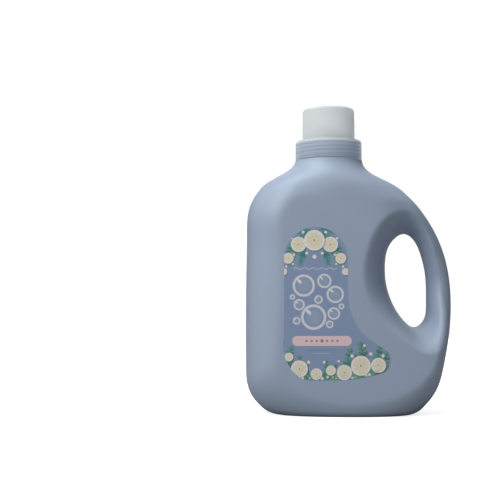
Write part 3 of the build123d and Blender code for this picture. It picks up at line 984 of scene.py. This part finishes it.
# Places and sizes in the artwork's own millimetres. The garland's are measured from the arch's middle.
artwork = {
    "middle": -13,
    # x, z, length, turn, bend, pairs of leaves and ink
    "garlandFronds": [
        (2, 172, 36, -0.12, -1.4, 9, "garland"), (9, 166, 26, -0.55, -0.9, 7, "garlandPale"),
        (8, 160, 15, -1.0, -0.5, 5, "garland"), (4, 178, 13, 0.1, -0.6, 5, "garland"),
    ],
    # x, z and size
    "garlandRounds": [(15.5, 164, 7.4), (25.5, 150.5, 5.2), (30, 137.5, 3.4)],
    "garlandBerries": [
        (7.5, 155.5, 1.5), (20, 154, 1.3), (21, 145, 1.1), (27.5, 142.5, 1.2), (11, 176, 1.5), (22, 170, 1.3),
    ],
    # x, z, length, turn and bend
    "groveFronds": [
        (-37, 35, 27, 1.75, -0.5), (-30, 35, 19, 1.2, 0.6), (-20, 33, 14, 1.8, -0.5), (-3, 33, 17, 1.3, 0.5),
        (8, 33, 14, 1.9, -0.6), (20, 34, 26, 1.75, -0.5), (34, 37, 29, 1.5, 0.35), (40, 38, 27, 1.0, 0.5),
        (47, 40, 23, 0.85, 0.6), (44, 38, 16, 0.3, 0.5), (27, 36, 20, 1.45, 0.4),
    ],
    # x, z, size and turn
    "groveRounds": [
        (-28, 43.5, 8.2, 1.35), (-11.5, 38.5, 5.6, 1.8), (2.5, 42, 4.8, 1.2), (15.5, 40, 7.4, 1.7),
        (31.5, 46.5, 9.6, 1.3), (48.5, 47, 7.2, 0.9), (-38, 55, 4.2, 1.9),
    ],
    "groveBerries": [
        (-19, 50, 1.6), (-4, 50, 1.4), (23, 56, 1.7), (41, 58, 1.7), (53, 56, 1.6), (10, 51, 1.3),
        (35, 66, 1.4),
    ],
    "bubbles": [
        (-23.5, 124, 9.6), (-3.5, 128.5, 6.0), (7.0, 115.5, 7.4), (-9.3, 110.5, 3.4), (-28, 105.5, 4.6),
        (-14, 93.5, 11.0), (5.5, 97, 5.2), (13.0, 104, 2.2), (-30.5, 90, 3.0), (1.5, 86.5, 3.0),
        (-34.5, 113, 2.0),
    ],
}


def wave(left, right, z, height, turns, count=90):
    # points of a sine line: z + height * sin(full turn * turns * t), with t from 0 at left to 1 at right
    t = np.linspace(0, 1, count)
    return np.stack([left + (right - left) * t, z + height * np.sin(fullTurn * turns * t)], 1)


def paintGrove(sheet):
    # a garland of fronds and citrus rounds hung in the arch, the same on both sides
    middle = artwork["middle"]
    for side in (-1, 1):
        outward = np.pi / 2 * (1 - side)
        for x, z, length, turn, bend, pairs, ink in artwork["garlandFronds"]:
            way = outward + side * turn
            sheet.frond(middle + side * x, z, length, way, side * bend, inkColours[ink], pairs)
        for x, z, size in artwork["garlandRounds"]:
            sheet.citrus(middle + side * x, z, size, side * x)
        for x, z, size in artwork["garlandBerries"]:
            sheet.berry(middle + side * x, z, size)
    sheet.citrus(middle, 168, 10.0, 0.2)
    sheet.berry(middle, 152, 2.1)
    # a grove along the foot: tall fronds at both ends, low leaves, then rounds and berries between
    for frond in artwork["groveFronds"]:
        sheet.frond(*frond, inkColours["grove"], 6)
    for k in range(30):
        z = 36.0 + 0.05 * max(k - 18, 0) ** 2 + 1.3 * np.sin(2.1 * k)
        tint = (84 + 16 * np.sin(2.3 * k), 148 + 10 * np.sin(k), 108)
        sheet.leaf(-37 + 3.0 * k, z, 3.8, 1.57 + 0.8 * np.sin(1.3 * k), tint)
    for citrusRound in artwork["groveRounds"]:
        sheet.citrus(*citrusRound)
    for k in range(19):
        x = -33 + 4.6 * k + 1.2 * np.sin(2.7 * k)
        z = 35.2 + 0.1 * max(k - 10, 0) ** 2 + 0.9 * np.sin(1.9 * k)
        sheet.berry(x, z, 1.1 + 0.4 * np.sin(1.3 * k))
    for berry in artwork["groveBerries"]:
        sheet.berry(*berry)


def paintFront(sheet):
    # the grove, one thin wave, a cluster of bubbles, a plain band with dots, and two rules
    paintGrove(sheet)
    sheet.stroke(wave(-33, 8, 140.5, 0.8, 5), 0.6, inkColours["wave"], 0.95)
    for bubble in artwork["bubbles"]:
        sheet.bubble(*bubble)
    bandFar = np.hypot(np.maximum(np.abs(sheet.x + 6) - 24, 0), sheet.z - 70.5)
    sheet.lay(softStep(5.0, 4.6, bandFar), inkColours["band"])
    for k in range(7):
        size = 1.4 if k == 3 else 0.9
        sheet.berry(-21 + 5 * k, 70.5, size, inkColours["dot"])
    sheet.stroke([(-20, 61.5), (8, 61.5)], 0.45, inkColours["rule"], 0.7)
    sheet.stroke([(-14, 58.5), (2, 58.5)], 0.4, inkColours["wave"], 0.7)


def paintBack(sheet):
    # the grove, a pale panel with plain rules of uneven length, and one thin wave
    paintGrove(sheet)
    panel = softStep(28.1, 27.7, np.abs(sheet.x + 11.5)) * softStep(34.1, 33.7, np.abs(sheet.z - 97))
    sheet.lay(panel * 0.92, inkColours["panel"])
    for k in range(17):
        z = 126 - 3.4 * k
        width = 44 - 14 * (k % 4 == 3) - 4 * (k % 3)
        sheet.stroke([(-35, z), (-35 + width, z)], 0.5, inkColours["panelRule"], 0.7)
    sheet.stroke(wave(-33, 8, 138.5, 0.8, 5), 0.55, inkColours["wave"], 0.9)


def filmMaterial():
    # the print's own colours through the plastic group, without bump
    material, tree, shader = makeMaterial("printedFilm", filmLook["shader"])
    group = plasticNode(tree, shader, filmLook)
    inks = tree.nodes.new("ShaderNodeVertexColor")
    inks.layer_name = "inks"
    tree.links.new(inks.outputs["Color"], group.inputs["Colour"])
    return material


film = filmMaterial()
for nodeName, side, paint in (("front_label", -1, paintFront), ("back_label", 1, paintBack)):
    grid = labelGrid(side)
    filmMesh = surfaceMesh(nodeName + "_film", grid, flip=side > 0)
    sheet = LabelPrint(grid[..., 0], grid[..., 2])
    paint(sheet)
    colours = linearShare(np.clip(sheet.colour, 0, 1))
    colours = np.concatenate([colours, np.ones(colours.shape[:2] + (1,))], -1)
    inks = filmMesh.color_attributes.new("inks", "FLOAT_COLOR", "POINT")
    inks.data.foreach_set("color", colours.astype(np.float32).ravel())
    addPiece(nodeName + "_film", filmMesh, film, "bottle", nodeName)
    print(nodeName, "printed")

# Floor, backdrop and light. A softbox has its place in metres, its power in watts and its size in metres.
studio = {
    "floorColour": (250, 250, 250),
    "bounce": 0.32,  # how light the backdrop is to the object, and its glow to the camera
    "glow": 0.75,
    "sky": 0.32,
    "skyColour": (0.92, 0.96, 1.0, 1),
    "halfWidth": 5000,
    "floorStart": -4000,  # the floor runs back to wallStart and turns up there with the radius wallTurn
    "wallStart": 2200,
    "wallTurn": 1500,
    "drop": 0.02,  # the floor lies this far below the foot
    "keySoftbox": (-0.88, -0.92, 1.00, 12.5, 0.8),
    "backSoftbox": (0.25, 1.70, 0.80, 6.0, 1.6),
    "topSoftbox": (-0.35, -0.20, 1.45, 10.5, 0.9),
    "target": (0.02, 0, 0.14),
}


def backdropGrid():
    # flat floor that turns up into a wall behind by a quarter circle
    start, radius = studio["wallStart"], studio["wallTurn"]
    flat = np.linspace(studio["floorStart"], start, 40)
    turn = np.linspace(0, np.pi / 2, 24)[1:]
    y = np.concatenate([flat, start + radius * np.sin(turn), [start + radius] * 2])
    z = np.concatenate([np.zeros(len(flat)), radius * (1 - np.cos(turn)), [radius * 2, radius * 4]])
    x = np.linspace(-studio["halfWidth"], studio["halfWidth"], 12)
    allX, allY = np.meshgrid(x, y)
    allZ = np.meshgrid(x, z - studio["drop"])[1]
    return np.stack([allX, allY, allZ], -1)


def seenThrough(tree):
    # 1 for rays from the camera or on through clear plastic, else 0
    ray = tree.nodes.new("ShaderNodeLightPath")
    most = mathNode(tree, "MAXIMUM")
    tree.links.new(ray.outputs["Is Camera Ray"], most.inputs[0])
    tree.links.new(ray.outputs["Is Transmission Ray"], most.inputs[1])
    return most.outputs[0]


def paperMaterial():
    # pale paper: bright with a glow where it is seen, and a plain dim paper for the light that it returns
    material = bpy.data.materials.new("palePaper")
    material.use_nodes = True
    tree = material.node_tree
    tree.nodes.clear()
    seen = tree.nodes.new("ShaderNodeBsdfDiffuse")
    seen.inputs["Color"].default_value = toLinear(studio["floorColour"])
    glow = tree.nodes.new("ShaderNodeEmission")
    glow.inputs["Strength"].default_value = studio["glow"]
    unseen = tree.nodes.new("ShaderNodeBsdfDiffuse")
    unseen.inputs["Color"].default_value = (studio["bounce"],) * 3 + (1,)
    bright = tree.nodes.new("ShaderNodeAddShader")
    mixer = tree.nodes.new("ShaderNodeMixShader")
    out = tree.nodes.new("ShaderNodeOutputMaterial")
    tree.links.new(seen.outputs[0], bright.inputs[0])
    tree.links.new(glow.outputs[0], bright.inputs[1])
    tree.links.new(seenThrough(tree), mixer.inputs[0])
    tree.links.new(unseen.outputs[0], mixer.inputs[1])
    tree.links.new(bright.outputs[0], mixer.inputs[2])
    tree.links.new(mixer.outputs[0], out.inputs["Surface"])
    return material


def lightWorld():
    # a soft sky on the object, and plain white where the world itself is seen
    world = bpy.data.worlds.new("studio")
    bpy.context.scene.world = world
    world.use_nodes = True
    tree = world.node_tree
    sky = tree.nodes["Background"]
    sky.inputs["Color"].default_value = studio["skyColour"]
    sky.inputs["Strength"].default_value = studio["sky"]
    white = tree.nodes.new("ShaderNodeBackground")
    white.inputs["Color"].default_value = (1, 1, 1, 1)
    mixer = tree.nodes.new("ShaderNodeMixShader")
    tree.links.new(seenThrough(tree), mixer.inputs[0])
    tree.links.new(sky.outputs[0], mixer.inputs[1])
    tree.links.new(white.outputs[0], mixer.inputs[2])
    tree.links.new(mixer.outputs[0], tree.nodes["World Output"].inputs["Surface"])


def softbox(name):
    # a square lamp that faces the target
    x, y, z, power, size = studio[name]
    light = bpy.data.lights.new(name, "AREA")
    light.shape = "SQUARE"
    light.energy = power
    light.size = size
    lamp = bpy.data.objects.new(name, light)
    lamp.location = (x, y, z)
    lamp.rotation_euler = (Vector(studio["target"]) - lamp.location).to_track_quat("-Z", "Y").to_euler()
    bpy.context.scene.collection.objects.link(lamp)


backdropMesh = surfaceMesh("backdrop", backdropGrid())
backdropMesh.materials.append(paperMaterial())
backdrop = bpy.data.objects.new("backdrop", backdropMesh)
bpy.context.scene.collection.objects.link(backdrop)
lightWorld()
for name in ("keySoftbox", "backSoftbox", "topSoftbox"):
    softbox(name)

# The camera, level with the lower half of the bottle and tilted up a little.
lens = {
    "x": -77.7,
    "distance": 1000.0,
    "height": 108.2,
    "tilt": 2.849,
    "focal": 74.5,
    "sensor": 36.0,
}
camera = bpy.data.objects.new("camera", bpy.data.cameras.new("camera"))
camera.data.lens = lens["focal"]
camera.data.sensor_width = lens["sensor"]
camera.location = (lens["x"] * mm, -lens["distance"] * mm, lens["height"] * mm)
camera.rotation_euler = (np.radians(90 + lens["tilt"]), 0, 0)
bpy.context.scene.collection.objects.link(camera)
bpy.context.scene.camera = camera
bpy.context.scene.view_settings.view_transform = "Standard"
print("studio set")
